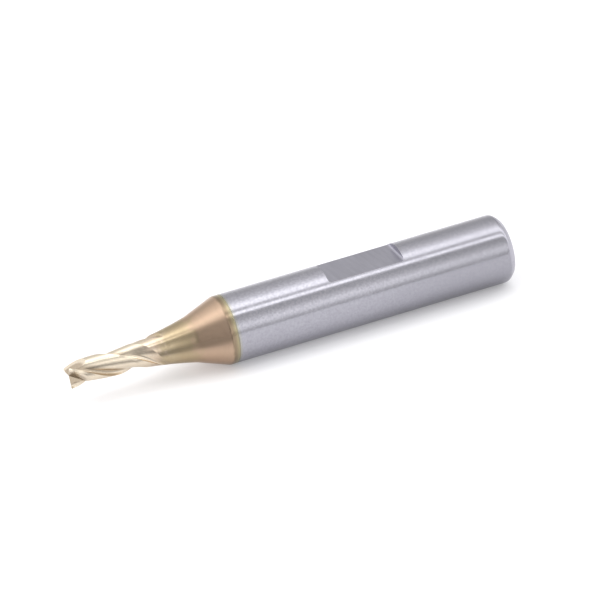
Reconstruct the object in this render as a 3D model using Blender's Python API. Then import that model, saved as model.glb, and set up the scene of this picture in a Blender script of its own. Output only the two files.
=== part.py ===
"""A three-flute end mill with a flat on its shank, built as a tool maker builds a composite-shank cutter.

It is three turned pieces: the ground shank, the coated cutting head whose spigot sits in a socket in
the shank, and the film of braze between them. The tool lies along X with its cutting end towards -X
and the shank flat facing +Z. The origin is under the middle of the tool, on the surface it lies on.
"""

from math import acos, atan2, cos, hypot, pi, radians, sin, tan

import bmesh
import bpy
from mathutils import Matrix, Vector
from mathutils.geometry import interpolate_bezier

MM = 0.001

# Driving dimensions, in millimetres and degrees. Lengths run along the tool.
SHANK_DIAMETER = 8.0
SHANK_LENGTH = 34.2  # rear face to the joint with the cutting head
REAR_CHAMFER = 0.75
CENTRE_HOLE_MOUTH = 3.0
CENTRE_HOLE_ANGLE = 60.0  # of the countersink between the mouth and the pilot hole
CENTRE_HOLE_PILOT = 1.6
CENTRE_HOLE_DEPTH = 3.2

FLAT_LENGTH = 9.3
FLAT_DEPTH = 0.82
FLAT_CENTRE_FROM_REAR = 17.65
FLAT_CORNER_RADIUS = 0.3

SPIGOT_DIAMETER = 4.0
SPIGOT_LENGTH = 6.0
BRAZE_FILM = 0.11  # thickness of the braze round the spigot
BRAZE_FACE = 0.08  # thickness of the braze between the two shoulders
JOINT_CLEARANCE = 0.02  # hairline left on each side of the braze
SOCKET_BOTTOM_ROOM = 0.2

LAND_LENGTH = 0.65  # coated length at full shank diameter
CONE_LENGTH = 3.6
CONE_ANGLE = 20.0  # half angle of the cone behind the neck
NECK_LENGTH = 6.7  # flared neck between the teeth and the cone
NECK_TURN = 7.6  # degrees that the neck's arc turns on its way to the cone
NECK_STEPS = 12
CUTTER_DIAMETER = 3.0
CUTTING_LENGTH = 8.2

FLUTES = 3
HELIX_ANGLE = 29.0  # right hand
CORE_DIAMETER = 1.8
RAKE_ANGLE = 8.0
EDGE_RELIEF = 9.0
EDGE_LAND = 0.25  # width of the flat land behind each cutting edge
BACK_RELIEF = 4.0  # where the rounded back of a tooth leaves that land
BACK_FULLNESS = 0.43  # how far the back bulges: 0.4 is nearly round
ROOT_RADIUS = 0.35  # of the flute bottom in front of a cutting edge
ROOT_LEAN = 20.0  # degrees of the root arc before the flute's deepest line
RUN_OUT_START = 6.6  # from the tip: where the flute bottom starts to rise
RUN_OUT_RADIUS = 11.0  # of the rising flute bottom

DISH_ANGLE = 3.0
END_RELIEF = 8.0
END_LAND_SPAN = 9.0  # degrees of the end that stay as a land behind each cutting edge
GASH_ANGLE = 57.0  # how steeply the floor of each gash runs back from the middle
END_RAKE = 3.0

END_STOCK = 0.3  # extra length in front that the end cutter takes off
STATION_STEP = 0.3  # distance between two sections of the fluted length
LEAST_STEP = radians(0.25)  # between two points of a section that lie on the round body
ROOT_STEPS = 8
BACK_POINTS = 11
RAKE_STEPS = 3
ROUND_SIDES = 96
SAME_PLACE = 1e-5  # points closer than this are one point

SHANK_RADIUS = SHANK_DIAMETER / 2
CUTTER_RADIUS = CUTTER_DIAMETER / 2
CORE_RADIUS = CORE_DIAMETER / 2
SPIGOT_RADIUS = SPIGOT_DIAMETER / 2
JOINT_GAP = BRAZE_FACE + 2 * JOINT_CLEARANCE
SOCKET_RADIUS = SPIGOT_RADIUS + BRAZE_FILM + 2 * JOINT_CLEARANCE
HEAD_LENGTH = CUTTING_LENGTH + NECK_LENGTH + CONE_LENGTH + LAND_LENGTH
OVERALL_LENGTH = HEAD_LENGTH + JOINT_GAP + SHANK_LENGTH
TIP_X = -OVERALL_LENGTH / 2
HEAD_SHOULDER_X = TIP_X + HEAD_LENGTH
SHANK_FRONT_X = HEAD_SHOULDER_X + JOINT_GAP
REAR_X = OVERALL_LENGTH / 2
LEAD = pi * CUTTER_DIAMETER / tan(radians(HELIX_ANGLE))


def clear_scene():
    for obj in list(bpy.data.objects):
        bpy.data.objects.remove(obj, do_unlink=True)


def metal(name, colour, roughness):
    """A metal: its colour and its roughness."""
    material = bpy.data.materials.new(name)
    material.use_nodes = True
    shader = material.node_tree.nodes["Principled BSDF"]
    shader.inputs["Base Color"].default_value = (*colour, 1.0)
    shader.inputs["Metallic"].default_value = 1.0
    shader.inputs["Roughness"].default_value = roughness
    material.diffuse_color = (*colour, 1.0)
    return material


def add_object(name, mesh_data, material=None):
    """Puts a bmesh, in millimetres about the tool's axis, into the scene as an object in metres."""
    bmesh.ops.recalc_face_normals(mesh_data, faces=mesh_data.faces)
    to_metres = Matrix.Translation((0, 0, SHANK_RADIUS * MM)) @ Matrix.Scale(MM, 4)
    bmesh.ops.transform(mesh_data, matrix=to_metres, verts=mesh_data.verts)
    mesh = bpy.data.meshes.new(name)
    mesh_data.to_mesh(mesh)
    mesh_data.free()
    obj = bpy.data.objects.new(name, mesh)
    bpy.context.scene.collection.objects.link(obj)
    if material:
        mesh.materials.append(material)
        mesh.shade_smooth()
        mesh.set_sharp_from_angle(angle=radians(25))
    return obj


def cut(target, cutter):
    """Takes the cutter's shape out of the target, and keeps the cutter as a guide."""
    cutter.hide_render = True
    cutter.display_type = "WIRE"
    boolean = target.modifiers.new(cutter.name, "BOOLEAN")
    boolean.operation = "DIFFERENCE"
    boolean.solver = "EXACT"
    boolean.object = cutter


def turned(profile, closed=False):
    """Spins a profile of (x, radius) points about the tool's axis. A closed profile makes a ring."""
    mesh_data = bmesh.new()
    points = [mesh_data.verts.new((x, 0, radius)) for x, radius in profile]
    edges = [mesh_data.edges.new(pair) for pair in zip(points, points[1:])]
    if closed:
        edges.append(mesh_data.edges.new((points[-1], points[0])))
    bmesh.ops.spin(
        mesh_data,
        geom=points + edges,
        axis=(1, 0, 0),
        cent=(0, 0, 0),
        angle=2 * pi,
        steps=ROUND_SIDES,
        use_merge=True,
    )
    bmesh.ops.remove_doubles(mesh_data, verts=mesh_data.verts, dist=SAME_PLACE)
    return mesh_data


def make_shank(material):
    """The ground bar: centre hole and chamfer at the rear, socket for the head's spigot in front."""
    mouth = CENTRE_HOLE_MOUTH / 2
    pilot = CENTRE_HOLE_PILOT / 2
    countersink = (mouth - pilot) / tan(radians(CENTRE_HOLE_ANGLE / 2))
    socket_bottom = SHANK_FRONT_X + SPIGOT_LENGTH - JOINT_GAP + SOCKET_BOTTOM_ROOM
    shank = add_object(
        "shank",
        turned(
            [
                (socket_bottom, 0),
                (socket_bottom, SOCKET_RADIUS),
                (SHANK_FRONT_X, SOCKET_RADIUS),
                (SHANK_FRONT_X, SHANK_RADIUS),
                (REAR_X - REAR_CHAMFER, SHANK_RADIUS),
                (REAR_X, SHANK_RADIUS - REAR_CHAMFER),
                (REAR_X, mouth),
                (REAR_X - countersink, pilot),
                (REAR_X - CENTRE_HOLE_DEPTH + pilot, pilot),
                (REAR_X - CENTRE_HOLE_DEPTH, 0),
            ]
        ),
        material,
    )
    cut(shank, make_flat_cutter())


def make_flat_cutter():
    """The wheel's path across the shank: a block with its two lower cross edges rounded."""
    height = 2 * FLAT_DEPTH + FLAT_CORNER_RADIUS
    width = 2 * SHANK_DIAMETER
    block = bmesh.new()
    centre = Vector((REAR_X - FLAT_CENTRE_FROM_REAR, 0, SHANK_RADIUS - FLAT_DEPTH + height / 2))
    place = Matrix.Translation(centre) @ Matrix.Diagonal((FLAT_LENGTH, width, height, 1))
    bmesh.ops.create_cube(block, size=1, matrix=place)
    lower = [
        edge
        for edge in block.edges
        if all(vert.co.z < centre.z for vert in edge.verts)
        and abs(edge.verts[0].co.x - edge.verts[1].co.x) < SAME_PLACE
    ]
    bmesh.ops.bevel(block, geom=lower, offset=FLAT_CORNER_RADIUS, segments=3, profile=0.5, affect="EDGES")
    return add_object("flat_cutter", block)


def make_braze(material):
    """The braze: a sleeve round the spigot with a flange between the two shoulders, ground flush."""
    front = HEAD_SHOULDER_X + JOINT_CLEARANCE
    inner = SPIGOT_RADIUS + JOINT_CLEARANCE
    outer = inner + BRAZE_FILM
    add_object(
        "braze_joint",
        turned(
            [
                (front, inner),
                (front, SHANK_RADIUS),
                (front + BRAZE_FACE, SHANK_RADIUS),
                (front + BRAZE_FACE, outer),
                (HEAD_SHOULDER_X + SPIGOT_LENGTH, outer),
                (HEAD_SHOULDER_X + SPIGOT_LENGTH, inner),
            ],
            closed=True,
        ),
        material,
    )


def direction(angle):
    return Vector((cos(angle), sin(angle)))


def tooth_section():
    """One tooth and the flute behind it, as (angle back from the cutting edge, radius).

    A narrow flat land, then a rounded back that falls away to the root of the flute. The root is an arc
    that ends tangent to the straight rake face of the next tooth.
    """
    edge = Vector((CUTTER_RADIUS, 0))
    land_end = edge + EDGE_LAND * direction(pi / 2 + radians(EDGE_RELIEF))
    back_faces = atan2(land_end.y, land_end.x) + radians(BACK_RELIEF)

    next_edge_at = 2 * pi / FLUTES
    next_edge = CUTTER_RADIUS * direction(next_edge_at)
    rake_faces = next_edge_at - pi / 2 - radians(RAKE_ANGLE)
    to_root_centre = CORE_RADIUS + ROOT_RADIUS
    deepest_at = rake_faces + acos((ROOT_RADIUS + direction(rake_faces).dot(next_edge)) / to_root_centre)
    root_centre = to_root_centre * direction(deepest_at)
    root_faces = deepest_at + radians(ROOT_LEAN)
    root_turn = rake_faces - root_faces
    root = []
    for step in range(ROOT_STEPS + 1):
        root.append(root_centre - ROOT_RADIUS * direction(root_faces + root_turn * step / ROOT_STEPS))

    pull = (root[0] - land_end).length * BACK_FULLNESS
    leaving = land_end + pull * direction(back_faces + pi / 2)
    arriving = root[0] - pull * direction(root_faces + pi / 2)
    back = interpolate_bezier(land_end, leaving, arriving, root[0], BACK_POINTS)
    rake = [root[-1].lerp(next_edge, step / RAKE_STEPS) for step in range(1, RAKE_STEPS)]

    shape = [edge] + back[:-1] + root + rake
    return [(atan2(point.y, point.x) % (2 * pi), point.length) for point in shape]


def neck_profile():
    """The flared neck: an arc from the teeth to the small end of the cone, as (x, radius)."""
    small_end = SHANK_RADIUS - CONE_LENGTH * tan(radians(CONE_ANGLE))
    rise = small_end - CUTTER_RADIUS
    chord_angle = atan2(rise, NECK_LENGTH)
    turn = radians(NECK_TURN)
    radius = hypot(rise, NECK_LENGTH) / (2 * sin(turn / 2))
    start = chord_angle - turn / 2
    points = []
    for step in range(NECK_STEPS + 1):
        angle = start + turn * step / NECK_STEPS
        x = radius * (sin(angle) - sin(start))
        points.append((TIP_X + CUTTING_LENGTH + x, CUTTER_RADIUS + radius * (cos(start) - cos(angle))))
    return points


def body_radius(x, neck):
    """Radius of the head before the flutes are cut, between the tip and the cone."""
    if x <= neck[0][0]:
        return CUTTER_RADIUS
    for (x0, r0), (x1, r1) in zip(neck, neck[1:]):
        if x <= x1:
            return r0 + (r1 - r0) * (x - x0) / (x1 - x0)
    return neck[-1][1]


def head_ring(x, section, neck):
    """One section of the head across the flutes, as (angle, radius) all the way round.

    Past the run-out start the flute rises until it is lost in the round body. The points that reach
    the body stay in order along it, and past the teeth they all spread out to an even spacing.
    """
    body = body_radius(x, neck)
    from_tip = x - TIP_X
    rise = max(0.0, from_tip - RUN_OUT_START) ** 2 / (2 * RUN_OUT_RADIUS)
    evened = max(0.0, (from_tip - CUTTING_LENGTH) / NECK_LENGTH)
    pitch = 2 * pi / FLUTES
    tooth = []
    limit = pitch
    for index, (back, radius) in reversed(list(enumerate(section))):
        radius = min(body, radius + rise)
        if radius == body and back:
            back = min(back, limit - LEAST_STEP)
            limit = back
        even = pitch * index / len(section)
        tooth.insert(0, (back + (even - back) * evened, radius))
    twist = 2 * pi * from_tip / LEAD
    return [(twist + pitch * flute + back, radius) for flute in range(FLUTES) for back, radius in tooth]


def make_head(material):
    """The cutting head: fluted length, neck, cone and land, with a plain spigot behind."""
    section = tooth_section()
    neck = neck_profile()
    front = TIP_X - END_STOCK
    neck_end = neck[-1][0]
    stations = round((neck_end - front) / STATION_STEP)
    fluted = [front + (neck_end - front) * station / stations for station in range(stations + 1)]
    rings = [(x, head_ring(x, section, neck)) for x in fluted]
    last_angles = [angle for angle, _ in rings[-1][1]]
    cone_base = neck_end + CONE_LENGTH
    for x, radius in (
        (cone_base, SHANK_RADIUS),
        (HEAD_SHOULDER_X, SHANK_RADIUS),
        (HEAD_SHOULDER_X, SPIGOT_RADIUS),
        (HEAD_SHOULDER_X + SPIGOT_LENGTH, SPIGOT_RADIUS),
    ):
        rings.append((x, [(angle, radius) for angle in last_angles]))

    head = bmesh.new()
    loops = []
    for x, ring in rings:
        loops.append([head.verts.new((x, radius * cos(a), radius * sin(a))) for a, radius in ring])
    for near, far in zip(loops, loops[1:]):
        for i in range(len(near)):
            j = (i + 1) % len(near)
            head.faces.new((near[i], far[i], far[j], near[j]))
    head.faces.new(loops[0])
    head.faces.new(loops[-1])
    bmesh.ops.triangulate(head, faces=head.faces)
    obj = add_object("cutting_head", head, material)
    cut(obj, make_end_cutter())


def make_end_cutter():
    """What the wheel takes off the end: for each tooth a dished land with relief, and a steep gash behind it.

    Everything meets at the middle of the end. Past the cutter's rim the shape goes on to a wall, and it
    closes in a flat top in front of the tool.
    """
    reach = CUTTER_DIAMETER
    pitch = 2 * pi / FLUTES
    land_span = radians(END_LAND_SPAN)
    gash_floor = pitch - radians(END_RAKE)
    middle_x = TIP_X + CUTTER_RADIUS * tan(radians(DISH_ANGLE))
    top_x = TIP_X - CUTTER_RADIUS
    land_start_x = middle_x - reach * tan(radians(DISH_ANGLE))
    land_end_x = middle_x - reach * cos(land_span) * tan(radians(DISH_ANGLE))
    land_end_x += reach * sin(land_span) * tan(radians(END_RELIEF))
    floor_x = middle_x + reach * tan(radians(GASH_ANGLE))

    outline = []
    for tooth in range(FLUTES):
        for angle, x in ((0, land_start_x), (land_span, land_end_x), (gash_floor, floor_x)):
            outline.append((tooth * pitch + angle, x))
    cutter = bmesh.new()
    middle = cutter.verts.new((middle_x, 0, 0))
    low = [cutter.verts.new((x, reach * cos(a), reach * sin(a))) for a, x in outline]
    top = [cutter.verts.new((top_x, reach * cos(a), reach * sin(a))) for a, _ in outline]
    for i in range(len(low)):
        j = (i + 1) % len(low)
        cutter.faces.new((middle, low[i], low[j]))
        cutter.faces.new((low[i], top[i], top[j], low[j]))
    cutter.faces.new(top)
    return add_object("end_cutter", cutter)


clear_scene()
make_shank(metal("ground_steel", (0.55, 0.55, 0.57), 0.28))
make_braze(metal("braze_alloy", (0.78, 0.66, 0.38), 0.35))
make_head(metal("bronze_coating", (0.58, 0.42, 0.27), 0.25))
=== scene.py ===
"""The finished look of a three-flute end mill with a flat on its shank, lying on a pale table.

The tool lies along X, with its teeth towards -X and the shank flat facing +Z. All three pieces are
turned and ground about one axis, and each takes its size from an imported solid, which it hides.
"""

from math import acos, atan2, cos, hypot, pi, radians, sin, tan

import bmesh
import bpy
from mathutils import Matrix, Vector
from mathutils.geometry import interpolate_bezier


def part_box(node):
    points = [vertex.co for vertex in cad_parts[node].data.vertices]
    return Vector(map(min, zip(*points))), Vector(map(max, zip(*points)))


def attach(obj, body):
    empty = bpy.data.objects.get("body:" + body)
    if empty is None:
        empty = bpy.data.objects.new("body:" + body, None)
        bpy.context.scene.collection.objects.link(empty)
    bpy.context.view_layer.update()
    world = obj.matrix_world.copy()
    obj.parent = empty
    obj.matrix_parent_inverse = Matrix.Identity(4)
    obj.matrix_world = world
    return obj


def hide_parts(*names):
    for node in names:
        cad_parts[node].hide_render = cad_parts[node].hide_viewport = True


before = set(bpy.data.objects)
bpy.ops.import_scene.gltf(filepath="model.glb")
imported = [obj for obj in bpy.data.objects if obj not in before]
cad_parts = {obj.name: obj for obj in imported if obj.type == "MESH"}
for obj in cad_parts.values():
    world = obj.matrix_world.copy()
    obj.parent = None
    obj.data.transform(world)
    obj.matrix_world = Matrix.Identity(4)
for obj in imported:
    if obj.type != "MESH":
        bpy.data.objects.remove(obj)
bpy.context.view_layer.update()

MM = 0.001

# ---------------------------------------------------------------------------------------------------
# The shank is a hardened steel bar, centreless ground to 8 mm. The rear is faced and chamfered round
# the centre hole that it was ground on, and the front has the bored socket that the head is brazed
# into. One flat is ground across it for the set screw of the holder.
# ---------------------------------------------------------------------------------------------------
shank_low, shank_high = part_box("shank")
SHANK_RADIUS = (shank_high.y - shank_low.y) / 2
AXIS_HEIGHT = shank_low.z + SHANK_RADIUS
SHANK_FRONT = shank_low.x
SHANK_REAR = shank_high.x
REAR_CHAMFER = 0.75 * MM
EDGE_BREAK = 0.05 * MM
CENTRE_HOLE_MOUTH = 1.5 * MM
CENTRE_HOLE_PILOT = 0.8 * MM
CENTRE_HOLE_DEPTH = 3.2 * MM
SOCKET_RADIUS = 2.15 * MM
SOCKET_DEPTH = 6.08 * MM
FLAT_MIDDLE = SHANK_REAR - 17.65 * MM
FLAT_LENGTH = 9.3 * MM
FLAT_DEPTH = 0.82 * MM
FLAT_WHEEL_CORNER = 0.3 * MM
FLAT_CORNER_STEPS = 8
CENTRE_HOLE_ANGLE = radians(60)
DRILL_POINT = 0.58  # length of the pilot drill's point, in radii of the hole
SOCKET_EDGE_BREAK = 0.1 * MM
CHAMFER_FRONT_ROUND = 0.4 * MM
CHAMFER_REAR_ROUND = 0.2 * MM
INSIDE_THE_BAR = 0.2 * MM  # deeper than this the surface belongs to the socket or the rear face
ROUND_SIDES = 224
SHANK_STEP = 0.6 * MM


def with_steps(profile, step):
    """The same profile of (x, radius) points, with more points along its long runs."""
    points = [profile[0]]
    for (x0, r0), (x1, r1) in zip(profile, profile[1:]):
        count = max(1, round(hypot(x1 - x0, r1 - r0) / step))
        for i in range(1, count + 1):
            points.append((x0 + (x1 - x0) * i / count, r0 + (r1 - r0) * i / count))
    return points


def broken_corners(profile, breaks):
    """The profile with its corners at these places rounded, each over its own size to both sides."""
    points = []
    for place, corner in enumerate(profile):
        size = breaks.get(place)
        if size is None:
            points.append(corner)
            continue
        here = Vector(corner)
        start = here + (Vector(profile[place - 1]) - here).normalized() * size
        end = here + (Vector(profile[place + 1]) - here).normalized() * size
        for t in (0, 0.25, 0.5, 0.75, 1):
            points.append(tuple(start.lerp(here, t).lerp(here.lerp(end, t), t)))
    return points


def turned(profile, sides, ring=False):
    """A solid turned about the axis. A point on the axis closes an end, and a ring joins up with itself."""
    work = bmesh.new()
    rounds = []
    for x, radius in profile:
        if radius == 0:
            rounds.append([work.verts.new((x, 0, AXIS_HEIGHT))])
            continue
        angles = [2 * pi * side / sides for side in range(sides)]
        rounds.append([work.verts.new((x, radius * cos(a), AXIS_HEIGHT + radius * sin(a))) for a in angles])
    for near, far in zip(rounds, rounds[1:] + (rounds[:1] if ring else [])):
        for i in range(sides):
            j = (i + 1) % sides
            if len(near) == 1:
                corners = [near[0], far[i], far[j]]
            elif len(far) == 1:
                corners = [near[i], far[0], near[j]]
            else:
                corners = [near[i], far[i], far[j], near[j]]
            work.faces.new(corners)
    return work


def as_piece(name, work, *finishes):
    """Puts a mesh into the scene under this name, with its finishes."""
    bmesh.ops.recalc_face_normals(work, faces=work.faces)
    mesh = bpy.data.meshes.new(name)
    work.to_mesh(mesh)
    work.free()
    for finish in finishes:
        mesh.materials.append(finish)
    piece = bpy.data.objects.new(name, mesh)
    bpy.context.scene.collection.objects.link(piece)
    return piece


def grind(work, *wheels):
    """Takes the path of each wheel out of the work. The ground faces keep the wheel's finish."""
    for wheel in wheels:
        pass_of_wheel = work.modifiers.new(wheel.name, "BOOLEAN")
        pass_of_wheel.operation = "DIFFERENCE"
        pass_of_wheel.solver = "EXACT"
        pass_of_wheel.material_mode = "TRANSFER"
        pass_of_wheel.object = wheel
    graph = bpy.context.evaluated_depsgraph_get()
    ground = bpy.data.meshes.new_from_object(work.evaluated_get(graph), depsgraph=graph)
    ground.name = work.name
    work.modifiers.clear()
    blank = work.data
    work.data = ground
    bpy.data.meshes.remove(blank)
    for wheel in wheels:
        bpy.data.objects.remove(wheel, do_unlink=True)


def shade(piece, edge_angle):
    """Smooth faces with crisp edges, and normals that follow the larger faces."""
    piece.data.shade_smooth()
    piece.data.set_sharp_from_angle(angle=radians(edge_angle))
    even = piece.modifiers.new("even_normals", "WEIGHTED_NORMAL")
    even.keep_sharp = True
    even.weight = 60


def new_group(name, inputs, outputs):
    """An empty shader node group with sockets given as (name, kind, default), and its two end nodes."""
    group = bpy.data.node_groups.new(name, "ShaderNodeTree")
    for socket_name, kind, default in inputs:
        socket = group.interface.new_socket(name=socket_name, in_out="INPUT", socket_type=kind)
        socket.default_value = default
    for socket_name, kind in outputs:
        group.interface.new_socket(name=socket_name, in_out="OUTPUT", socket_type=kind)
    return group, group.nodes.new("NodeGroupInput"), group.nodes.new("NodeGroupOutput")


def feed(tree, socket, value):
    """Links this socket to another one, or sets it to a number or to the three numbers of a colour."""
    if isinstance(value, (int, float)):
        socket.default_value = value
    elif isinstance(value, tuple):
        socket.default_value = (*value, 1.0)
    else:
        tree.links.new(value, socket)


def sum_of(tree, operation, *values):
    """A Math node: each value is a socket or a number."""
    node = tree.nodes.new("ShaderNodeMath")
    node.operation = operation
    for socket, value in zip(node.inputs, values):
        feed(tree, socket, value)
    return node.outputs[0]


def spread(tree, value, low, high, to_low=0.0, to_high=1.0, smooth=False):
    """A Map Range node from low..high to to_low..to_high, with its ends held."""
    node = tree.nodes.new("ShaderNodeMapRange")
    node.interpolation_type = "SMOOTHSTEP" if smooth else "LINEAR"
    tree.links.new(value, node.inputs["Value"])
    for name, end in (("From Min", low), ("From Max", high), ("To Min", to_low), ("To Max", to_high)):
        feed(tree, node.inputs[name], end)
    return node.outputs["Result"]


def vector_of(tree, x, y, z=0.0):
    """A Combine XYZ node."""
    node = tree.nodes.new("ShaderNodeCombineXYZ")
    for socket, value in zip(node.inputs, (x, y, z)):
        feed(tree, socket, value)
    return node.outputs[0]


def noise_of(tree, vector, scale, detail=2.0, roughness=0.5, distortion=0.0):
    """A Noise node's value at this vector."""
    node = tree.nodes.new("ShaderNodeTexNoise")
    node.inputs["Scale"].default_value = scale
    node.inputs["Detail"].default_value = detail
    node.inputs["Roughness"].default_value = roughness
    node.inputs["Distortion"].default_value = distortion
    tree.links.new(vector, node.inputs["Vector"])
    return node.outputs["Fac"]


def blend_of(tree, amount, first, second):
    """A colour Mix node: each colour is a socket or three numbers."""
    node = tree.nodes.new("ShaderNodeMix")
    node.data_type = "RGBA"
    for name, value in (("Factor", amount), ("A", first), ("B", second)):
        feed(tree, node.inputs[name], value)
    return node.outputs["Result"]


def use(tree, group, **values):
    """Places a node group in a material, and links or sets its inputs. Underscores stand for spaces."""
    node = tree.nodes.new("ShaderNodeGroup")
    node.node_tree = group
    for name, value in values.items():
        feed(tree, node.inputs[name.replace("_", " ")], value)
    return node.outputs


# Where a point is on the tool, in millimetres: along the axis, round it as an angle, and out from it.
place_on_tool, _, ends_out = new_group(
    "place on tool",
    [],
    [("Along", "NodeSocketFloat"), ("Angle", "NodeSocketFloat"), ("Radius", "NodeSocketFloat"),
     ("Across", "NodeSocketFloat"), ("Round", "NodeSocketFloat"), ("Millimetres", "NodeSocketVector")],
)
where = place_on_tool.nodes.new("ShaderNodeTexCoord").outputs["Object"]
in_mm = place_on_tool.nodes.new("ShaderNodeVectorMath")
in_mm.operation = "SCALE"
in_mm.inputs["Scale"].default_value = 1 / MM
place_on_tool.links.new(where, in_mm.inputs[0])
apart = place_on_tool.nodes.new("ShaderNodeSeparateXYZ")
place_on_tool.links.new(in_mm.outputs[0], apart.inputs[0])
above_axis = sum_of(place_on_tool, "SUBTRACT", apart.outputs["Z"], AXIS_HEIGHT / MM)
angle = sum_of(place_on_tool, "ARCTAN2", above_axis, apart.outputs["Y"])
y_squared = sum_of(place_on_tool, "MULTIPLY", apart.outputs["Y"], apart.outputs["Y"])
out_squared = sum_of(place_on_tool, "MULTIPLY_ADD", above_axis, above_axis, y_squared)
out_from_axis = sum_of(place_on_tool, "SQRT", out_squared)
place_on_tool.links.new(apart.outputs["X"], ends_out.inputs["Along"])
place_on_tool.links.new(angle, ends_out.inputs["Angle"])
place_on_tool.links.new(out_from_axis, ends_out.inputs["Radius"])
place_on_tool.links.new(apart.outputs["Y"], ends_out.inputs["Across"])
place_on_tool.links.new(sum_of(place_on_tool, "MULTIPLY", angle, out_from_axis), ends_out.inputs["Round"])
place_on_tool.links.new(in_mm.outputs[0], ends_out.inputs["Millimetres"])

# The fine lines that a wheel leaves: close together one way, long the other way, in two depths.
wheel_lines, ends_in, ends_out = new_group(
    "wheel lines",
    [("Over", "NodeSocketFloat", 0.0), ("Follow", "NodeSocketFloat", 0.0),
     ("Spacing", "NodeSocketFloat", 0.03), ("Length", "NodeSocketFloat", 3.0)],
    [("Height", "NodeSocketFloat"), ("Tone", "NodeSocketFloat")],
)
over = sum_of(wheel_lines, "DIVIDE", ends_in.outputs["Over"], ends_in.outputs["Spacing"])
follow = sum_of(wheel_lines, "DIVIDE", ends_in.outputs["Follow"], ends_in.outputs["Length"])
fine_lines = noise_of(wheel_lines, vector_of(wheel_lines, over, follow), 1.0, 3.0, 0.6)
wide_over = sum_of(wheel_lines, "MULTIPLY", over, 0.13)
wide_lines = noise_of(wheel_lines, vector_of(wheel_lines, wide_over, follow, 7.0), 1.0, 2.0, 0.5)
deep_lines = spread(wheel_lines, wide_lines, 0.62, 0.78)
line_height = sum_of(wheel_lines, "MULTIPLY_ADD", deep_lines, -0.6, fine_lines)
wide_tone = sum_of(wheel_lines, "MULTIPLY", wide_lines, 0.45)
line_tone = sum_of(wheel_lines, "MULTIPLY_ADD", fine_lines, 0.55, wide_tone)
wheel_lines.links.new(line_height, ends_out.inputs["Height"])
wheel_lines.links.new(spread(wheel_lines, line_tone, 0.3, 0.7), ends_out.inputs["Tone"])

# The fine cloudy grain of a ground and tumbled metal, and the broader patches under it.
metal_grain, ends_in, ends_out = new_group(
    "metal grain",
    [("Millimetres", "NodeSocketVector", (0, 0, 0)), ("Grain size", "NodeSocketFloat", 0.25)],
    [("Grain", "NodeSocketFloat"), ("Patches", "NodeSocketFloat")],
)
by_size = metal_grain.nodes.new("ShaderNodeVectorMath")
by_size.operation = "SCALE"
metal_grain.links.new(ends_in.outputs["Millimetres"], by_size.inputs[0])
per_grain = sum_of(metal_grain, "DIVIDE", 1.0, ends_in.outputs["Grain size"])
metal_grain.links.new(per_grain, by_size.inputs["Scale"])
grain = noise_of(metal_grain, by_size.outputs[0], 1.0, 3.0, 0.65)
patches = noise_of(metal_grain, by_size.outputs[0], 0.13, 3.0, 0.5, 0.6)
metal_grain.links.new(spread(metal_grain, grain, 0.3, 0.7), ends_out.inputs["Grain"])
metal_grain.links.new(spread(metal_grain, patches, 0.35, 0.65, smooth=True), ends_out.inputs["Patches"])

# What handling leaves: the dull film of fingers in places, and a few hair scratches.
handling_marks, ends_in, ends_out = new_group(
    "handling marks",
    [("Millimetres", "NodeSocketVector", (0, 0, 0)), ("Scratches", "NodeSocketFloat", 0.3)],
    [("Film", "NodeSocketFloat"), ("Scratch", "NodeSocketFloat")],
)
film = noise_of(handling_marks, ends_in.outputs["Millimetres"], 0.22, 4.0, 0.55, 0.8)
turned_a_little = handling_marks.nodes.new("ShaderNodeMapping")
turned_a_little.inputs["Rotation"].default_value = (0.5, 0.9, 0.35)
turned_a_little.inputs["Scale"].default_value = (0.22, 3.2, 3.2)
handling_marks.links.new(ends_in.outputs["Millimetres"], turned_a_little.inputs["Vector"])
strands = noise_of(handling_marks, turned_a_little.outputs[0], 1.6, 1.0, 0.5, 0.3)
from_middle = sum_of(handling_marks, "ABSOLUTE", sum_of(handling_marks, "SUBTRACT", strands, 0.5))
hair = spread(handling_marks, from_middle, 0.0, 0.006, 1.0, 0.0)
in_places = spread(handling_marks, noise_of(handling_marks, ends_in.outputs["Millimetres"], 0.5), 0.5, 0.62)
hair_in_places = sum_of(handling_marks, "MULTIPLY", hair, in_places)
scratch = sum_of(handling_marks, "MULTIPLY", hair_in_places, ends_in.outputs["Scratches"])
handling_marks.links.new(spread(handling_marks, film, 0.42, 0.66, smooth=True), ends_out.inputs["Film"])
handling_marks.links.new(scratch, ends_out.inputs["Scratch"])

# A rubbed edge: bright within a small distance of the edge, and broken up along it.
rubbed_edge, ends_in, ends_out = new_group(
    "rubbed edge",
    [("Distance", "NodeSocketFloat", 1.0), ("Width", "NodeSocketFloat", 0.06),
     ("Millimetres", "NodeSocketVector", (0, 0, 0))],
    [("Worn", "NodeSocketFloat")],
)
breaks_up = noise_of(rubbed_edge, ends_in.outputs["Millimetres"], 3.5, 3.0, 0.6)
twice = sum_of(rubbed_edge, "MULTIPLY", breaks_up, 2.0)
reach = sum_of(rubbed_edge, "MULTIPLY", ends_in.outputs["Width"], twice)
off_edge = sum_of(rubbed_edge, "ABSOLUTE", ends_in.outputs["Distance"])
rubbed_edge.links.new(
    spread(rubbed_edge, off_edge, 0.0, reach, 1.0, 0.0, smooth=True), ends_out.inputs["Worn"])


def new_metal(name, colour, roughness):
    """A metal finish with its shader, ready for the nodes that vary it."""
    finish = bpy.data.materials.new(name)
    finish.use_nodes = True
    tree = finish.node_tree
    shader = tree.nodes["Principled BSDF"]
    shader.inputs["Base Color"].default_value = (*colour, 1.0)
    shader.inputs["Metallic"].default_value = 1.0
    shader.inputs["Roughness"].default_value = roughness
    finish.diffuse_color = (*colour, 1.0)
    return finish, tree, shader


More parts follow.
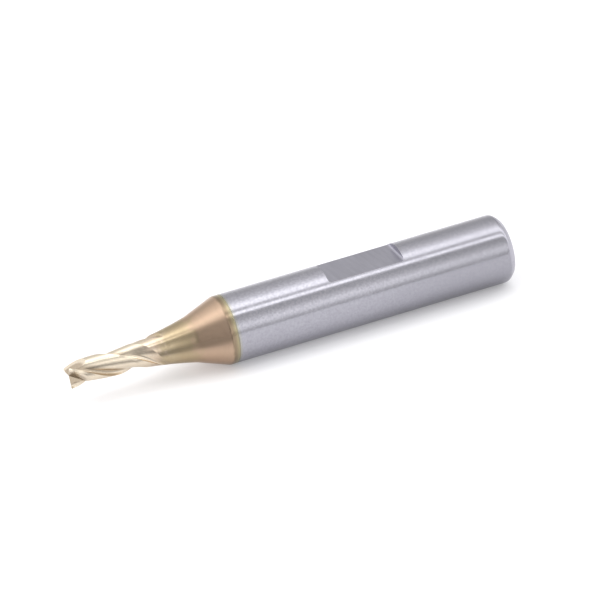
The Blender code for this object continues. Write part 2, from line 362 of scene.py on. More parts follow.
def raise_by(tree, shader, height, depth):
    """Feeds a height, in the metres that depth gives, to the shader's normal."""
    bump = tree.nodes.new("ShaderNodeBump")
    bump.inputs["Strength"].default_value = 1.0
    bump.inputs["Distance"].default_value = depth
    tree.links.new(height, bump.inputs["Height"])
    tree.links.new(bump.outputs[0], shader.inputs["Normal"])


# The round of the shank: rings of the centreless grind, fine grain, a film from handling towards the rear,
# and a straw tint where the braze heated it.
STEEL = (0.490, 0.482, 0.530)
DULL_STEEL = (0.350, 0.345, 0.390)
REAR_STEEL = (0.340, 0.335, 0.372)
RUBBED_STEEL = (0.66, 0.65, 0.70)
HEAT_TINT = (0.470, 0.455, 0.330)
round_steel, tree, shader = new_metal("ground steel", STEEL, 0.2)
place = use(tree, place_on_tool)
rings = use(tree, wheel_lines, Over=place["Along"], Follow=place["Round"], Spacing=0.035, Length=2.5)
texture = use(tree, metal_grain, Millimetres=place["Millimetres"], Grain_size=0.28)
marks = use(tree, handling_marks, Millimetres=place["Millimetres"], Scratches=0.5)
from_chamfer = sum_of(tree, "SUBTRACT", place["Along"], (SHANK_REAR - REAR_CHAMFER) / MM)
worn = use(tree, rubbed_edge, Distance=from_chamfer, Width=0.05, Millimetres=place["Millimetres"])["Worn"]
toned = blend_of(tree, sum_of(tree, "MULTIPLY", texture["Grain"], 0.75), STEEL, DULL_STEEL)
toned = blend_of(tree, sum_of(tree, "MULTIPLY", rings["Tone"], 0.25), toned, DULL_STEEL)
at_rear = spread(tree, place["Along"], 4.0, 22.0, 0.0, 0.55, smooth=True)
toned = blend_of(tree, at_rear, toned, REAR_STEEL)
near_joint = spread(tree, place["Along"], SHANK_FRONT / MM, SHANK_FRONT / MM + 0.4, 0.45, 0.0, smooth=True)
toned = blend_of(tree, near_joint, toned, HEAT_TINT)
toned = blend_of(tree, sum_of(tree, "MULTIPLY", worn, 0.5), toned, RUBBED_STEEL)
tree.links.new(toned, shader.inputs["Base Color"])
gloss = sum_of(tree, "MULTIPLY_ADD", texture["Patches"], 0.03, 0.11)
gloss = sum_of(tree, "MULTIPLY_ADD", at_rear, 0.03, gloss)
gloss = sum_of(tree, "MULTIPLY_ADD", marks["Film"], 0.05, gloss)
gloss = sum_of(tree, "MULTIPLY_ADD", rings["Tone"], 0.04, gloss)
tree.links.new(sum_of(tree, "MULTIPLY_ADD", marks["Scratch"], 0.15, gloss), shader.inputs["Roughness"])
relief = sum_of(tree, "MULTIPLY_ADD", rings["Height"], 0.2, sum_of(tree, "MULTIPLY", texture["Grain"], 0.22))
relief = sum_of(tree, "MULTIPLY_ADD", marks["Scratch"], -1.0, relief)
raise_by(tree, shader, relief, 0.0012 * MM)

# The flat and its two ends: a coarser wheel that crossed the bar, so it is duller and lined across.
FLAT_DARK = (0.36, 0.353, 0.405)
FLAT_LIGHT = (0.47, 0.462, 0.52)
FLAT_GRAIN = (0.33, 0.325, 0.37)
FLAT_RUBBED = (0.62, 0.61, 0.66)
flat_steel, tree, shader = new_metal("cross ground steel", DULL_STEEL, 0.34)
place = use(tree, place_on_tool)
skewed = sum_of(tree, "MULTIPLY_ADD", place["Across"], 0.12, place["Along"])
lines = use(tree, wheel_lines, Over=skewed, Follow=place["Across"], Spacing=0.06, Length=4.0)
texture = use(tree, metal_grain, Millimetres=place["Millimetres"], Grain_size=0.2)
marks = use(tree, handling_marks, Millimetres=place["Millimetres"], Scratches=0.8)
half_width = (SHANK_RADIUS**2 - (SHANK_RADIUS - FLAT_DEPTH) ** 2) ** 0.5 / MM
from_side = sum_of(tree, "SUBTRACT", sum_of(tree, "ABSOLUTE", place["Across"]), half_width)
worn = use(tree, rubbed_edge, Distance=from_side, Width=0.07, Millimetres=place["Millimetres"])["Worn"]
toned = blend_of(tree, lines["Tone"], FLAT_DARK, FLAT_LIGHT)
toned = blend_of(tree, sum_of(tree, "MULTIPLY", texture["Grain"], 0.3), toned, FLAT_GRAIN)
toned = blend_of(tree, sum_of(tree, "MULTIPLY", worn, 0.6), toned, FLAT_RUBBED)
tree.links.new(toned, shader.inputs["Base Color"])
gloss = sum_of(tree, "MULTIPLY_ADD", lines["Tone"], 0.08, 0.3)
tree.links.new(sum_of(tree, "MULTIPLY_ADD", marks["Film"], 0.05, gloss), shader.inputs["Roughness"])
relief = sum_of(tree, "MULTIPLY_ADD", marks["Scratch"], -0.8, lines["Height"])
raise_by(tree, shader, relief, 0.004 * MM)

# The rear face, its chamfer and the centre hole: faced on a lathe, so the tool marks run round.
FACED_DARK = (0.44, 0.433, 0.49)
FACED_LIGHT = (0.55, 0.54, 0.60)
FACED_PATCHES = (0.40, 0.395, 0.44)
faced_steel, tree, shader = new_metal("faced steel", DULL_STEEL, 0.3)
place = use(tree, place_on_tool)
rings = use(tree, wheel_lines, Over=place["Radius"], Follow=place["Angle"], Spacing=0.08, Length=2.0)
texture = use(tree, metal_grain, Millimetres=place["Millimetres"], Grain_size=0.2)
marks = use(tree, handling_marks, Millimetres=place["Millimetres"], Scratches=0.6)
from_rim = sum_of(tree, "SUBTRACT", place["Radius"], (SHANK_RADIUS - REAR_CHAMFER) / MM)
worn = use(tree, rubbed_edge, Distance=from_rim, Width=0.06, Millimetres=place["Millimetres"])["Worn"]
toned = blend_of(tree, rings["Tone"], FACED_DARK, FACED_LIGHT)
toned = blend_of(tree, sum_of(tree, "MULTIPLY", texture["Patches"], 0.3), toned, FACED_PATCHES)
toned = blend_of(tree, sum_of(tree, "MULTIPLY", worn, 0.5), toned, RUBBED_STEEL)
tree.links.new(toned, shader.inputs["Base Color"])
gloss = sum_of(tree, "MULTIPLY_ADD", rings["Tone"], 0.08, 0.24)
tree.links.new(sum_of(tree, "MULTIPLY_ADD", marks["Film"], 0.06, gloss), shader.inputs["Roughness"])
raise_by(tree, shader, rings["Height"], 0.004 * MM)

countersink = (CENTRE_HOLE_MOUTH - CENTRE_HOLE_PILOT) / tan(CENTRE_HOLE_ANGLE / 2)
shank_profile = [
    (SHANK_FRONT + SOCKET_DEPTH, 0),
    (SHANK_FRONT + SOCKET_DEPTH, SOCKET_RADIUS),
    (SHANK_FRONT, SOCKET_RADIUS),
    (SHANK_FRONT, SHANK_RADIUS),
    (SHANK_REAR - REAR_CHAMFER, SHANK_RADIUS),
    (SHANK_REAR, SHANK_RADIUS - REAR_CHAMFER),
    (SHANK_REAR, CENTRE_HOLE_MOUTH),
    (SHANK_REAR - countersink, CENTRE_HOLE_PILOT),
    (SHANK_REAR - CENTRE_HOLE_DEPTH + CENTRE_HOLE_PILOT * DRILL_POINT, CENTRE_HOLE_PILOT),
    (SHANK_REAR - CENTRE_HOLE_DEPTH, 0),
]
shank_profile = broken_corners(
    shank_profile,
    {2: SOCKET_EDGE_BREAK, 4: CHAMFER_FRONT_ROUND, 5: CHAMFER_REAR_ROUND, 6: EDGE_BREAK, 7: EDGE_BREAK},
)
shank_finishes = (round_steel, flat_steel, faced_steel)
shank = as_piece("ground_shank", turned(with_steps(shank_profile, SHANK_STEP), ROUND_SIDES), *shank_finishes)
for face in shank.data.polygons:
    past_chamfer = face.center.x > SHANK_REAR - REAR_CHAMFER
    in_hole = hypot(face.center.y, face.center.z - AXIS_HEIGHT) < SHANK_RADIUS - INSIDE_THE_BAR
    if past_chamfer or in_hole:
        face.material_index = shank_finishes.index(faced_steel)

wheel_height = 3 * FLAT_DEPTH
flat_wheel = bmesh.new()
wheel_place = Matrix.Translation((FLAT_MIDDLE, 0, AXIS_HEIGHT + SHANK_RADIUS - FLAT_DEPTH + wheel_height / 2))
wheel_place = wheel_place @ Matrix.Diagonal((FLAT_LENGTH, 4 * SHANK_RADIUS, wheel_height, 1))
bmesh.ops.create_cube(flat_wheel, size=1, matrix=wheel_place)
wheel_corners = [
    edge
    for edge in flat_wheel.edges
    if all(vert.co.z < AXIS_HEIGHT + SHANK_RADIUS for vert in edge.verts)
    and abs(edge.verts[0].co.x - edge.verts[1].co.x) < 1e-9
]
bmesh.ops.bevel(
    flat_wheel,
    geom=wheel_corners,
    offset=FLAT_WHEEL_CORNER,
    segments=FLAT_CORNER_STEPS,
    profile=0.5,
    affect="EDGES",
)
grind(shank, as_piece("flat_wheel", flat_wheel, flat_steel))
shade(shank, 12)
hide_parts("shank")
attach(shank, "root")

# ---------------------------------------------------------------------------------------------------
# The braze is a silver alloy that ran into the joint when it was heated: a thin sleeve round the
# spigot, with a flange between the two shoulders. It was ground flush with the shank afterwards, so
# only its rim shows, as a fine yellow line.
# ---------------------------------------------------------------------------------------------------
braze_low, braze_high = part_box("braze_joint")
BRAZE_FACE = 0.08 * MM
BRAZE_SLEEVE_INSIDE = 2.02 * MM
BRAZE_SLEEVE_OUTSIDE = 2.13 * MM
BRAZE_BELOW_FLUSH = 0.004 * MM
BRAZE_STEP = 0.5 * MM
BRAZE_YELLOW = (0.52, 0.47, 0.32)
BRAZE_DULL = (0.44, 0.40, 0.29)

braze_finish, tree, shader = new_metal("braze", (0.50, 0.45, 0.31), 0.35)
place = use(tree, place_on_tool)
texture = use(tree, metal_grain, Millimetres=place["Millimetres"], Grain_size=0.12)
rings = use(tree, wheel_lines, Over=place["Along"], Follow=place["Round"], Spacing=0.03, Length=2.0)
toned = blend_of(tree, texture["Patches"], BRAZE_YELLOW, BRAZE_DULL)
toned = blend_of(tree, sum_of(tree, "MULTIPLY", rings["Tone"], 0.35), toned, BRAZE_DULL)
tree.links.new(toned, shader.inputs["Base Color"])
tree.links.new(sum_of(tree, "MULTIPLY_ADD", texture["Grain"], 0.12, 0.28), shader.inputs["Roughness"])
relief = sum_of(tree, "MULTIPLY_ADD", rings["Height"], 0.5, texture["Grain"])
raise_by(tree, shader, relief, 0.003 * MM)

flange_back = braze_low.x + BRAZE_FACE
flange_rim = SHANK_RADIUS - BRAZE_BELOW_FLUSH
braze_profile = [
    (braze_low.x, BRAZE_SLEEVE_INSIDE),
    (braze_low.x, flange_rim),
    (flange_back, flange_rim),
    (flange_back, BRAZE_SLEEVE_OUTSIDE),
    (braze_high.x, BRAZE_SLEEVE_OUTSIDE),
    (braze_high.x, BRAZE_SLEEVE_INSIDE),
]
braze_ring = turned(with_steps(braze_profile, BRAZE_STEP), ROUND_SIDES, ring=True)
braze = as_piece("braze_ring", braze_ring, braze_finish)
shade(braze, 30)
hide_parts("braze_joint")
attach(braze, "root")

# ---------------------------------------------------------------------------------------------------
# The cutting head is solid carbide. It is turned with a flared neck, a cone and a plain spigot, then
# a wheel grinds three right-hand helical flutes with their lands, and another the gashes on the end.
# All of it in front of the joint is then coated, which gives the copper-gold colour.
# ---------------------------------------------------------------------------------------------------
head_low, head_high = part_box("cutting_head")
TIP = head_low.x
LAND_LENGTH = 0.65 * MM
CONE_LENGTH = 3.6 * MM
CONE_ANGLE = radians(20)
NECK_LENGTH = 6.7 * MM
NECK_TURN = radians(7.6)
CUTTING_LENGTH = 8.2 * MM
SHOULDER = TIP + CUTTING_LENGTH + NECK_LENGTH + CONE_LENGTH + LAND_LENGTH
SPIGOT_RADIUS = 2.0 * MM
CUTTER_RADIUS = 1.5 * MM
GRINDING_STOCK = 0.06 * MM
FLUTES = 3
PITCH = 2 * pi / FLUTES
HELIX_ANGLE = radians(29)
LEAD = 2 * pi * CUTTER_RADIUS / tan(HELIX_ANGLE)
CORE_RADIUS = 0.9 * MM
RAKE_ANGLE = radians(8)
EDGE_RELIEF = radians(9)
EDGE_LAND = 0.25 * MM
BACK_RELIEF = radians(4)
BACK_FULLNESS = 0.43
ROOT_RADIUS = 0.35 * MM
ROOT_LEAN = radians(20)
RUN_OUT_START = 6.6 * MM
RUN_OUT_RADIUS = 11.0 * MM
LAND_RUN_OUT = 0.4 * MM
DISH_ANGLE = radians(3)
END_RELIEF = radians(8)
END_LAND_SPAN = radians(9)
GASH_ANGLE = radians(57)
END_RAKE = radians(3)

# How finely the head is drawn, and how far the blank and the flute wheel reach past the finished shape.
HEAD_SIDES = 216
HEAD_STEP = 0.22 * MM
NECK_STEPS = 40
LAND_STEPS = 3
BACK_POINTS = 30
ROOT_STEPS = 22
RAKE_STEPS = 5
BLANK_PAST_TIP = 0.25 * MM
BLANK_BEFORE_NECK = 0.15 * MM
CONE_FOOT_ROUND = 0.25 * MM
CONE_EDGE_BREAK = 0.04 * MM
SPIGOT_BREAK = 0.1 * MM
AT_SHOULDER = 0.001 * MM
WHEEL_START = -0.4 * MM
WHEEL_STOP = 12.8 * MM
WHEEL_STATIONS = 116
WHEEL_OUTSIDE = 3.0 * MM
WHEEL_LEAST_WALL = 0.3 * MM
STATIONS_PER_OUTER_RING = 8
LEAST_TURN = radians(0.1)

# The coating's colours: pale gold on the teeth, olive on the neck, copper on the cone, and brown and then
# straw where it thins out at its edge. The brown is also painted shade in the roots of the flutes.
PALE_GOLD = (0.930, 0.820, 0.660)
COPPER_GOLD = (0.580, 0.415, 0.300)
OLIVE = (0.430, 0.400, 0.205)
BROWN = (0.300, 0.225, 0.150)
STRAW = (0.420, 0.375, 0.235)
LINE_TINT = (0.36, 0.27, 0.19)
GRAIN_TINT = (0.38, 0.30, 0.22)
RUBBED_GOLD = (0.88, 0.80, 0.66)


def coated(name, line_over, line_follow, spacing, length, depth, roughness, edge_distance):
    """The coating over one kind of ground surface. Its colour depends on the place along the tool."""
    finish, tree, shader = new_metal(name, COPPER_GOLD, roughness)
    place = use(tree, place_on_tool)
    from_tip = sum_of(tree, "SUBTRACT", place["Along"], TIP / MM)
    turned_back = sum_of(tree, "MULTIPLY_ADD", from_tip, -2 * pi * MM / LEAD, place["Angle"])
    round_flute = sum_of(tree, "MULTIPLY", turned_back, CUTTER_RADIUS / MM)
    measures = {"Along": place["Along"], "Round": place["Round"], "Across": place["Across"],
                "Radius": place["Radius"], "Flute": round_flute}
    lines = use(tree, wheel_lines, Over=measures[line_over], Follow=measures[line_follow],
                Spacing=spacing, Length=length)
    texture = use(tree, metal_grain, Millimetres=place["Millimetres"], Grain_size=0.14)
    marks = use(tree, handling_marks, Millimetres=place["Millimetres"], Scratches=0.4)
    wander = sum_of(tree, "MULTIPLY_ADD", texture["Patches"], 0.9, from_tip)
    colour = blend_of(tree, spread(tree, wander, 8.0, 13.5, smooth=True), PALE_GOLD, COPPER_GOLD)
    neck_tint = sum_of(tree, "MULTIPLY", spread(tree, wander, 10.5, 12.0, smooth=True),
                       spread(tree, wander, 14.2, 16.0, 1.0, 0.0, smooth=True))
    colour = blend_of(tree, sum_of(tree, "MULTIPLY", neck_tint, 0.45), colour, OLIVE)
    to_edge = sum_of(tree, "SUBTRACT", SHOULDER / MM, place["Along"])
    edge_wanders = sum_of(tree, "MULTIPLY_ADD", texture["Patches"], 0.12, to_edge)
    thin = spread(tree, edge_wanders, 0.6, 0.9, 1.0, 0.0, smooth=True)
    colour = blend_of(tree, thin, colour, BROWN)
    colour = blend_of(tree, spread(tree, to_edge, 0.0, 0.5, 1.0, 0.0, smooth=True), colour, STRAW)
    core = CORE_RADIUS / MM
    # Painted shade: the flute roots near the core are darkened towards brown, fading out before the run-out.
    root_painted_shade = spread(tree, place["Radius"], core + 0.06, core + 0.3, 0.6, 0.0, smooth=True)
    before_run_out = spread(tree, from_tip, 6.0, 8.0, 1.0, 0.0, smooth=True)
    root_painted_shade = sum_of(tree, "MULTIPLY", root_painted_shade, before_run_out)
    colour = blend_of(tree, root_painted_shade, colour, BROWN)
    colour = blend_of(tree, sum_of(tree, "MULTIPLY", lines["Tone"], 0.22), colour, LINE_TINT)
    colour = blend_of(tree, sum_of(tree, "MULTIPLY", texture["Grain"], 0.16), colour, GRAIN_TINT)
    if edge_distance:
        around = sum_of(tree, "WRAP", turned_back, PITCH / 2, -PITCH / 2)
        from_edge = sum_of(tree, "MULTIPLY", around, place["Radius"])
        rubbed = use(tree, rubbed_edge, Distance=from_edge, Width=0.03, Millimetres=place["Millimetres"])
        outside = spread(tree, place["Radius"], CUTTER_RADIUS / MM - 0.12, CUTTER_RADIUS / MM - 0.03)
        worn = sum_of(tree, "MULTIPLY", rubbed["Worn"], outside)
        colour = blend_of(tree, sum_of(tree, "MULTIPLY", worn, 0.7), colour, RUBBED_GOLD)
    tree.links.new(colour, shader.inputs["Base Color"])
    gloss = sum_of(tree, "MULTIPLY_ADD", lines["Tone"], 0.06, roughness)
    gloss = sum_of(tree, "MULTIPLY_ADD", marks["Film"], 0.04, gloss)
    tree.links.new(gloss, shader.inputs["Roughness"])
    relief = sum_of(tree, "MULTIPLY_ADD", texture["Grain"], 0.3, lines["Height"])
    relief = sum_of(tree, "MULTIPLY_ADD", marks["Scratch"], -0.6, relief)
    raise_by(tree, shader, relief, depth)
    return finish


coated_round = coated("coating on the neck and cone", "Along", "Round", 0.05, 2.0, 0.0016 * MM, 0.18, False)
coated_flute = coated("coating in the flutes", "Flute", "Along", 0.05, 5.0, 0.0025 * MM, 0.2, True)
coated_end = coated("coating on the end", "Across", "Radius", 0.05, 1.5, 0.002 * MM, 0.22, False)

# Behind the shoulder the carbide is bare: dark grey, ground round and a little rough for the braze.
CARBIDE_DARK = (0.26, 0.26, 0.27)
CARBIDE_LIGHT = (0.36, 0.36, 0.37)
bare_carbide, tree, shader = new_metal("bare carbide", (0.30, 0.30, 0.31), 0.35)
place = use(tree, place_on_tool)
rings = use(tree, wheel_lines, Over=place["Along"], Follow=place["Round"], Spacing=0.05, Length=2.0)
texture = use(tree, metal_grain, Millimetres=place["Millimetres"], Grain_size=0.1)
toned = blend_of(tree, rings["Tone"], CARBIDE_DARK, CARBIDE_LIGHT)
tree.links.new(toned, shader.inputs["Base Color"])
tree.links.new(sum_of(tree, "MULTIPLY_ADD", texture["Grain"], 0.12, 0.32), shader.inputs["Roughness"])
raise_by(tree, shader, rings["Height"], 0.003 * MM)


def towards(angle):
    """The unit vector at this angle in a section of the tool."""
    return Vector((cos(angle), sin(angle)))


def section_of_tooth():
    """One tooth and the flute behind it, as (angle back from the cutting edge, radius)."""
    edge = Vector((CUTTER_RADIUS, 0))
    land_end = edge + EDGE_LAND * towards(pi / 2 + EDGE_RELIEF)
    back_faces = atan2(land_end.y, land_end.x) + BACK_RELIEF
    next_edge = CUTTER_RADIUS * towards(PITCH)
    rake_faces = PITCH - pi / 2 - RAKE_ANGLE
    to_root_centre = CORE_RADIUS + ROOT_RADIUS
    deepest_at = rake_faces + acos((ROOT_RADIUS + towards(rake_faces).dot(next_edge)) / to_root_centre)
    root_centre = to_root_centre * towards(deepest_at)
    root_faces = deepest_at + ROOT_LEAN
    root_turn = rake_faces - root_faces
    root = [
        root_centre - ROOT_RADIUS * towards(root_faces + root_turn * step / ROOT_STEPS)
        for step in range(ROOT_STEPS + 1)
    ]
    pull = (root[0] - land_end).length * BACK_FULLNESS
    leaving = land_end + pull * towards(back_faces + pi / 2)
    arriving = root[0] - pull * towards(root_faces + pi / 2)
    back = interpolate_bezier(land_end, leaving, arriving, root[0], BACK_POINTS)
    land = [edge.lerp(land_end, step / LAND_STEPS) for step in range(LAND_STEPS)]
    rake = [root[-1].lerp(next_edge, step / RAKE_STEPS) for step in range(1, RAKE_STEPS)]
    return [(atan2(point.y, point.x) % (2 * pi), point.length) for point in land + back[:-1] + root + rake]


def flute_wheel():
    """All that the flute wheel takes away: a thick sleeve whose inside is the teeth and the flutes.

    The floor of each flute rises at its end until it is clear of the neck. The teeth stay at their own
    radius to the end of the cutting length, and the sleeve opens quickly behind it. Points that this
    opening would push past each other are kept in their order round the tooth.
    """
    section = section_of_tooth()
    wheel = bmesh.new()
    inner = []
    outer = []
    for station in range(WHEEL_STATIONS + 1):
        from_tip = WHEEL_START + (WHEEL_STOP - WHEEL_START) * station / WHEEL_STATIONS
        twist = 2 * pi * from_tip / LEAD
        rise = max(0.0, from_tip - RUN_OUT_START) ** 2 / (2 * RUN_OUT_RADIUS)
        widest = CUTTER_RADIUS + max(0.0, from_tip - CUTTING_LENGTH) ** 2 / (2 * LAND_RUN_OUT)
        widest = min(widest, WHEEL_OUTSIDE - WHEEL_LEAST_WALL)
        tooth = []
        limit = PITCH
        for back, radius in reversed(section):
            if radius + rise >= widest and back:
                back = min(back, limit - LEAST_TURN)
                limit = back
            tooth.insert(0, (back, min(radius + rise, widest)))
        ring = [(twist + PITCH * flute + back, radius) for flute in range(FLUTES) for back, radius in tooth]
        inner.append([(TIP + from_tip, a, radius) for a, radius in ring])
        if station % STATIONS_PER_OUTER_RING == 0 or station == WHEEL_STATIONS:
            outer.append([(TIP + from_tip, a, WHEEL_OUTSIDE) for a, _ in ring])
    made = []
    for ring in inner + outer[::-1]:
        made.append([wheel.verts.new((x, r * cos(a), AXIS_HEIGHT + r * sin(a))) for x, a, r in ring])
    for near, far in zip(made, made[1:] + made[:1]):
        for i in range(len(near)):
            j = (i + 1) % len(near)
            wheel.faces.new((near[i], far[i], far[j], near[j]))
    bmesh.ops.triangulate(wheel, faces=wheel.faces)
    return as_piece("flute_wheel", wheel, coated_flute)


def end_wheel():
    """What the wheel takes off the end: for each tooth a dished land with relief, and a gash behind it."""
    reach = 2 * CUTTER_RADIUS
    middle_x = TIP + CUTTER_RADIUS * tan(DISH_ANGLE)
    land_start = middle_x - reach * tan(DISH_ANGLE)
    dish_at_land_end = reach * cos(END_LAND_SPAN) * tan(DISH_ANGLE)
    land_end = middle_x - dish_at_land_end + reach * sin(END_LAND_SPAN) * tan(END_RELIEF)
    gash_floor = middle_x + reach * tan(GASH_ANGLE)
    outline = []
    for tooth in range(FLUTES):
        for back, x in ((0, land_start), (END_LAND_SPAN, land_end), (PITCH - END_RAKE, gash_floor)):
            outline.append((tooth * PITCH + back, x))
    wheel = bmesh.new()
    middle = wheel.verts.new((middle_x, 0, AXIS_HEIGHT))
    low = [wheel.verts.new((x, reach * cos(a), AXIS_HEIGHT + reach * sin(a))) for a, x in outline]
    top_x = TIP - CUTTER_RADIUS
    top = [wheel.verts.new((top_x, reach * cos(a), AXIS_HEIGHT + reach * sin(a))) for a, _ in outline]
    for i in range(len(low)):
        j = (i + 1) % len(low)
        wheel.faces.new((middle, low[i], low[j]))
        wheel.faces.new((low[i], top[i], top[j], low[j]))
    wheel.faces.new(top)
    return as_piece("end_wheel", wheel, coated_end)


small_end = SHANK_RADIUS - CONE_LENGTH * tan(CONE_ANGLE)
chord_angle = atan2(small_end - CUTTER_RADIUS, NECK_LENGTH)
neck_radius = hypot(small_end - CUTTER_RADIUS, NECK_LENGTH) / (2 * sin(NECK_TURN / 2))
neck_start = chord_angle - NECK_TURN / 2
neck = []
for step in range(NECK_STEPS + 1):
    slope = neck_start + NECK_TURN * step / NECK_STEPS
    neck.append((
        TIP + CUTTING_LENGTH + neck_radius * (sin(slope) - sin(neck_start)),
        CUTTER_RADIUS + neck_radius * (cos(neck_start) - cos(slope)),
    ))
head_profile = [
    (TIP - BLANK_PAST_TIP, 0),
    (TIP - BLANK_PAST_TIP, CUTTER_RADIUS + GRINDING_STOCK),
    (TIP + CUTTING_LENGTH - BLANK_BEFORE_NECK, CUTTER_RADIUS + GRINDING_STOCK),
    *neck,
    (SHOULDER - LAND_LENGTH, SHANK_RADIUS),
    (SHOULDER, SHANK_RADIUS),
    (SHOULDER, SPIGOT_RADIUS),
    (head_high.x, SPIGOT_RADIUS),
    (head_high.x, 0),
]
cone_foot = head_profile.index(neck[-1])
head_profile = broken_corners(
    head_profile, {cone_foot: CONE_FOOT_ROUND, cone_foot + 1: CONE_EDGE_BREAK, cone_foot + 4: SPIGOT_BREAK})
head_finishes = (coated_round, bare_carbide)
head = as_piece("fluted_head", turned(with_steps(head_profile, HEAD_STEP), HEAD_SIDES), *head_finishes)
for face in head.data.polygons:
    if face.center.x > SHOULDER - AT_SHOULDER:
        face.material_index = head_finishes.index(bare_carbide)
grind(head, flute_wheel(), end_wheel())
shade(head, 9)
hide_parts("cutting_head")
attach(head, "root")

# ---------------------------------------------------------------------------------------------------
# The table is a plain white sheet that the tool lies on, on its shank. It glows a little, most of it
# towards the camera only, so that it looks white while the tool reflects it darker. At the left front
# the sheet is darker in what the tool reflects, and the glow makes up for that to the camera.
# ---------------------------------------------------------------------------------------------------
TABLE_HALF = 1.2
TABLE_SQUARES = 8
WHITE_PAPER = (0.82, 0.82, 0.83)
PAPER_FIBRE = (0.79, 0.79, 0.80)
SHADED_PAPER = (0.25, 0.25, 0.25)
GLOW = 0.07
CAMERA_GLOW = 0.14
CAMERA_GLOW_IN_SHADE = 0.75
sheet = bmesh.new()
bmesh.ops.create_grid(sheet, x_segments=TABLE_SQUARES, y_segments=TABLE_SQUARES, size=TABLE_HALF)
table = as_piece("table", sheet)
white_sheet = bpy.data.materials.new("white sheet")
white_sheet.use_nodes = True
shader = white_sheet.node_tree.nodes["Principled BSDF"]
tree = white_sheet.node_tree
place = use(tree, place_on_tool)
fibre = use(tree, metal_grain, Millimetres=place["Millimetres"], Grain_size=0.6)["Grain"]
apart = tree.nodes.new("ShaderNodeSeparateXYZ")
tree.links.new(place["Millimetres"], apart.inputs[0])
at_front = spread(tree, apart.outputs["Y"], -4.0, -13.0, smooth=True)
at_left = spread(tree, apart.outputs["X"], -6.0, -17.0, smooth=True)
in_shade = sum_of(tree, "MULTIPLY", at_front, at_left)
paper = blend_of(tree, sum_of(tree, "MULTIPLY", fibre, 0.3), WHITE_PAPER, PAPER_FIBRE)
tree.links.new(blend_of(tree, in_shade, paper, SHADED_PAPER), shader.inputs["Base Color"])
shader.inputs["Emission Color"].default_value = (1.0, 1.0, 1.0, 1.0)
lit_through = sum_of(tree, "MULTIPLY_ADD", in_shade, CAMERA_GLOW_IN_SHADE, CAMERA_GLOW)
to_camera = tree.nodes.new("ShaderNodeLightPath").outputs["Is Camera Ray"]
glow = sum_of(tree, "MULTIPLY_ADD", to_camera, lit_through, GLOW)
tree.links.new(glow, shader.inputs["Emission Strength"])
shader.inputs["Roughness"].default_value = 0.9
shader.inputs["Specular IOR Level"].default_value = 0.0
table.data.materials.append(white_sheet)

# ---------------------------------------------------------------------------------------------------
# The light is a white tent: two strip lights overhead, bright cloth above and to the right, and the
# dark opening in front. Each list gives the height round the tool, from the front edge of the table
# (0 degrees) over the top to the back edge (180), and how bright the tent is there. A white card
# stands at the left, past the tip of the tool.
# ---------------------------------------------------------------------------------------------------
RIGHT_SIDE = [
    (0, 0.74), (6, 0.80), (15, 1.30), (24, 1.45), (34, 1.12), (44, 0.84), (56, 0.66),
    (62, 0.8), (64.5, 2.4), (71, 2.4), (73, 1.0),  # the front strip light
    (81, 1.0), (85, 2.2), (96, 2.2), (101, 1.8),  # the strip light overhead
    (112, 1.25), (125, 0.95), (145, 0.72), (160, 0.72), (172, 0.9), (180, 1.0),
]
LEFT_SIDE = [
    (0, 0.42), (6, 0.34), (30, 0.32), (56, 0.34), (66, 0.6), (74, 1.25), (82, 1.6), (95, 1.7),
    (110, 1.3), (130, 1.0), (160, 0.8), (180, 0.9),
]
WHITE_CARD = (0.75, 0.74, 0.76)
TENT_STRENGTH = 2.5  # the brightest that a colour of 1 can be in the lists above
HALF_ROUND = 180
tent = bpy.data.worlds.new("light tent")
bpy.context.scene.world = tent
tent.use_nodes = True
tree = tent.node_tree
sky = tree.nodes["Background"]
sky.inputs["Strength"].default_value = TENT_STRENGTH
apart = tree.nodes.new("ShaderNodeSeparateXYZ")
tree.links.new(tree.nodes.new("ShaderNodeTexCoord").outputs["Generated"], apart.inputs[0])
to_front = sum_of(tree, "MULTIPLY", apart.outputs["Y"], -1.0)
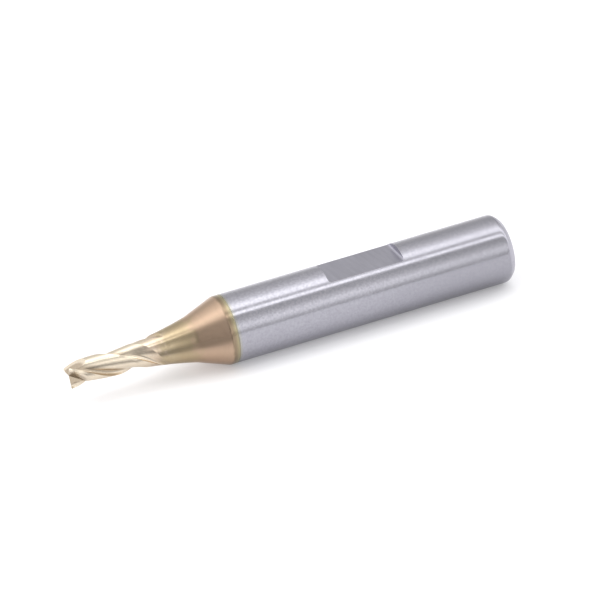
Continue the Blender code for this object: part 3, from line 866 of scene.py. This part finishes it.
height_round = sum_of(tree, "DIVIDE", sum_of(tree, "ARCTAN2", apart.outputs["Z"], to_front), pi)
cloths = []
for side in (LEFT_SIDE, RIGHT_SIDE):
    cloth = tree.nodes.new("ShaderNodeValToRGB")
    stops = cloth.color_ramp.elements
    while len(stops) < len(side):
        stops.new(0.5)
    for stop, (degrees, brightness) in zip(stops, side):
        level = brightness / TENT_STRENGTH
        stop.position = degrees / HALF_ROUND
        stop.color = (level, level, level, 1.0)
    tree.links.new(height_round, cloth.inputs["Fac"])
    cloths.append(cloth.outputs["Color"])
to_right = spread(tree, apart.outputs["X"], -0.24, -0.05, smooth=True)
cloth = blend_of(tree, to_right, *cloths)
to_card = spread(tree, apart.outputs["X"], -0.45, -0.6, smooth=True)
to_card = sum_of(tree, "MULTIPLY", to_card, spread(tree, apart.outputs["Z"], -0.1, 0.15, smooth=True))
tree.links.new(blend_of(tree, to_card, cloth, WHITE_CARD), sky.inputs["Color"])

# ---------------------------------------------------------------------------------------------------
# The camera looks down at the tool from the front left through a long lens, a little tilted.
# ---------------------------------------------------------------------------------------------------
AZIMUTH = radians(-19.2)
ELEVATION = radians(27.2)
ROLL = radians(7.5)
LENS = 400.0
SENSOR = 36.0
VIEW_WIDTH = 67.6 * MM
LOOKS_AT = Vector((1.7, 0.36, 4.66)) * MM
back = Vector((sin(AZIMUTH) * cos(ELEVATION), -cos(AZIMUTH) * cos(ELEVATION), sin(ELEVATION)))
level = Vector((cos(AZIMUTH), sin(AZIMUTH), 0))
upright = back.cross(level)
right = cos(ROLL) * level - sin(ROLL) * upright
up = sin(ROLL) * level + cos(ROLL) * upright
camera = bpy.data.objects.new("camera", bpy.data.cameras.new("camera"))
camera.data.lens = LENS
camera.data.sensor_width = SENSOR
distance = VIEW_WIDTH * LENS / SENSOR
camera_turn = Matrix((right, up, back)).transposed().to_4x4()
camera.matrix_world = Matrix.Translation(LOOKS_AT + back * distance) @ camera_turn
bpy.context.scene.collection.objects.link(camera)
bpy.context.scene.camera = camera
bpy.context.scene.view_settings.view_transform = "Standard"
